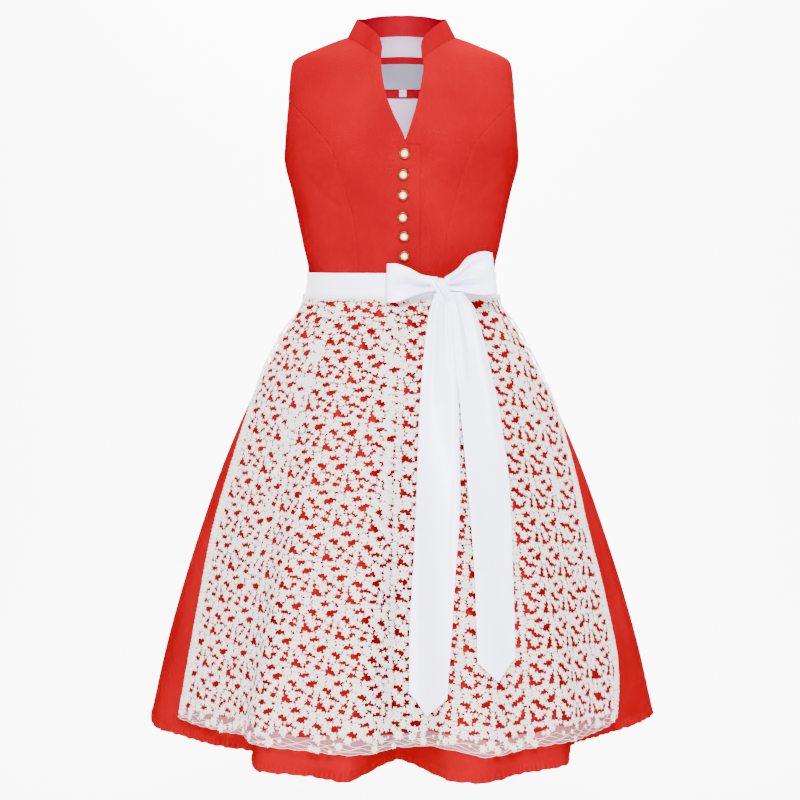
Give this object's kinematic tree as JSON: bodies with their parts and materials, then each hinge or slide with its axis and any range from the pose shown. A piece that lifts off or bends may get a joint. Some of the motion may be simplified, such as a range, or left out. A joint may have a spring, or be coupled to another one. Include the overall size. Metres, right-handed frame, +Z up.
{
  "type": "dirndl",
  "caption": "Sleeveless red dirndl with a stand collar and V neck, a full midi skirt with a puckered hem, and an ivory flower-lace apron tied with a satin bow.",
  "frame": {"origin": "midway between the two points where the shoulder seams meet the collar, where the wearer's shoulders hold the dress", "axes": "+Z up along the worn dress, -Y towards its front, +X towards the wearer's left"},
  "size_m": [0.7682, 0.7619, 1.0532],
  "materials": {
    "red_cloth": "matte woven cotton",
    "white_lining": "plain woven lining",
    "ivory_lace": "matte corded lace",
    "white_satin": "glossy satin",
    "woven_label": "silver-grey woven label",
    "pearl": "pearl",
    "brass_rim": "aged brass"
  },
  "bodies": {
    "root": {"front_centre_right": "red_cloth", "front_centre_left": "red_cloth", "front_side_right": "red_cloth", "back_side_right": "red_cloth", "front_side_left": "red_cloth", "back_side_left": "red_cloth", "back_centre": "red_cloth", "collar": "red_cloth", "neck_patch": "red_cloth", "skirt_front": "red_cloth", "skirt_back": "red_cloth", "hem_front": "red_cloth", "hem_back": "red_cloth", "back_lining": "white_lining", "size_tab": "white_lining", "apron_lace": "ivory_lace", "apron_net": "ivory_lace", "waistband": "white_satin", "tie_back": "white_satin", "bow_left": "white_satin", "bow_right": "white_satin", "bow_knot": "white_satin", "tail_left": "white_satin", "tail_right": "white_satin", "label": "woven_label", "button_pearl_1": "pearl", "button_pearl_2": "pearl", "button_pearl_3": "pearl", "button_pearl_4": "pearl", "button_pearl_5": "pearl", "button_pearl_6": "pearl", "button_rim_1": "brass_rim", "button_rim_2": "brass_rim", "button_rim_3": "brass_rim", "button_rim_4": "brass_rim", "button_rim_5": "brass_rim", "button_rim_6": "brass_rim"}
  },
  "joints": []
}
